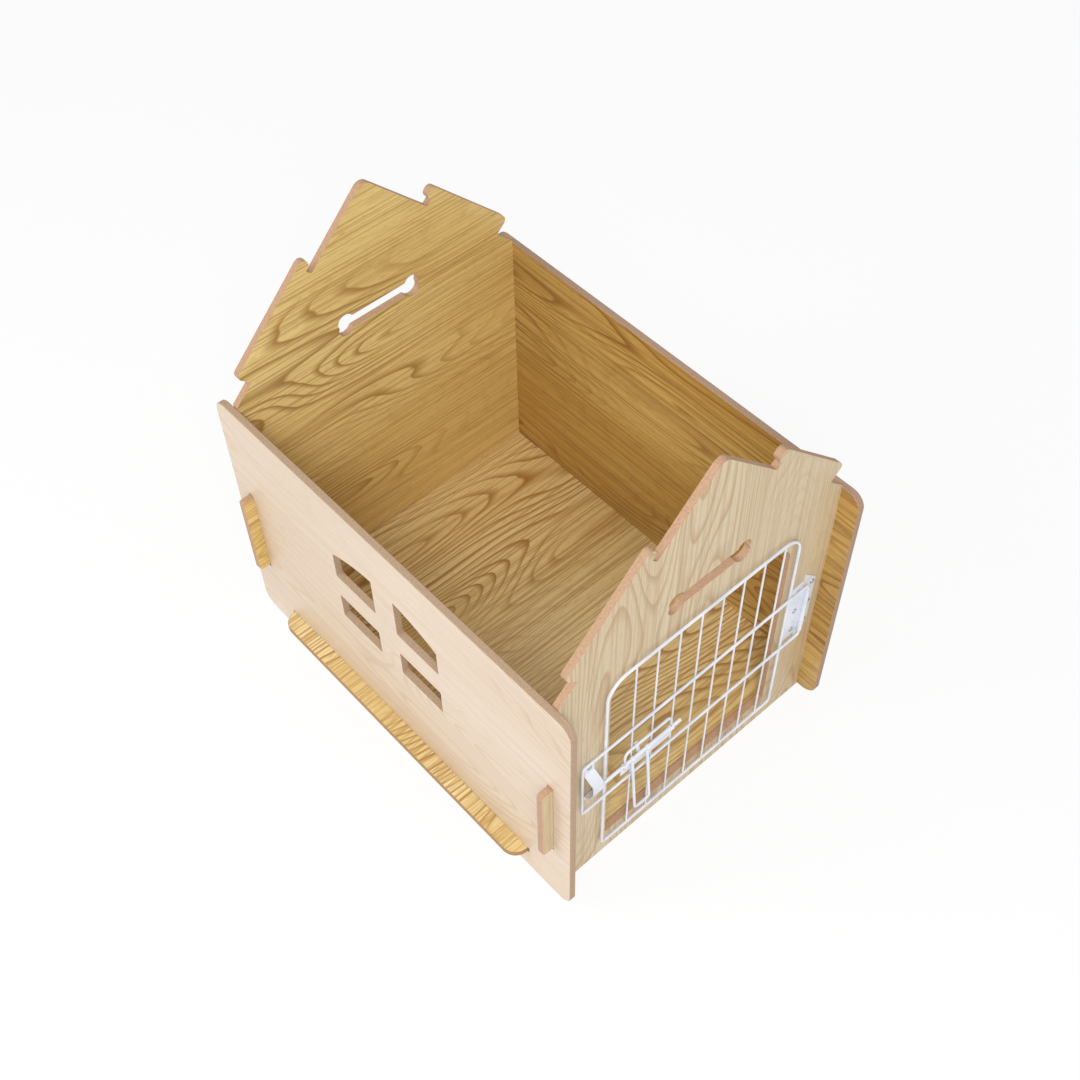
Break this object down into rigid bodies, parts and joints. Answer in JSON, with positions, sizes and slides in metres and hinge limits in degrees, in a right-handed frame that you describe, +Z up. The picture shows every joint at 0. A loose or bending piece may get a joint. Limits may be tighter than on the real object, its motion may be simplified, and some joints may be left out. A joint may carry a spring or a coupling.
{
  "type": "indoor dog house",
  "caption": "Open-topped house for a small pet: slotted wood-grain boards, bone-shaped hand holds, paned side window, and a hinged white wire door with a slide latch.",
  "frame": {"origin": "on the ground, midway between the two side panels and midway between the two gables", "axes": "+X to the right seen from the door, +Y from the door to the back, +Z up; the door is on the -Y side"},
  "size_m": [0.494, 0.625, 0.6245],
  "materials": {
    "board": "satin wood-grain melamine, bare fibreboard edges",
    "white_wire": "gloss white powder coat",
    "screw": "bright zinc"
  },
  "bodies": {
    "house": {"floor_board": "board", "left_side_panel": "board", "right_side_panel": "board", "front_gable": "board", "back_gable": "board", "hinge_bracket": "white_wire", "latch_keeper": "white_wire", "hinge_screws": "screw", "keeper_screw": "screw"},
    "door": {"door_frame_wire": "white_wire", "door_cross_loop": "white_wire", "door_bar_1": "white_wire", "door_bar_2": "white_wire", "door_bar_3": "white_wire", "door_bar_4": "white_wire", "door_bar_5": "white_wire", "door_bar_6": "white_wire", "door_bar_7": "white_wire", "door_bar_8": "white_wire", "latch_guide_plate": "white_wire", "latch_bail": "white_wire"},
    "bolt": {"latch_bolt": "white_wire"},
    "handle": {"latch_handle": "white_wire"}
  },
  "joints": [
    {"name": "door_hinge", "type": "hinge", "parent": "house", "child": "door", "pos_m": [0.18, -0.29145, 0.2125], "axis": [0, 0, 1], "range_deg": [0, 145]},
    {"name": "bolt_slide", "type": "slide", "parent": "door", "child": "bolt", "axis": [1, 0, 0], "range_m": [-0.0075, 0.03]},
    {"name": "handle_swing", "type": "hinge", "parent": "bolt", "child": "handle", "pos_m": [-0.0995, -0.29383, 0.2], "axis": [-1, 0, 0], "range_deg": [0, 155]}
  ]
}
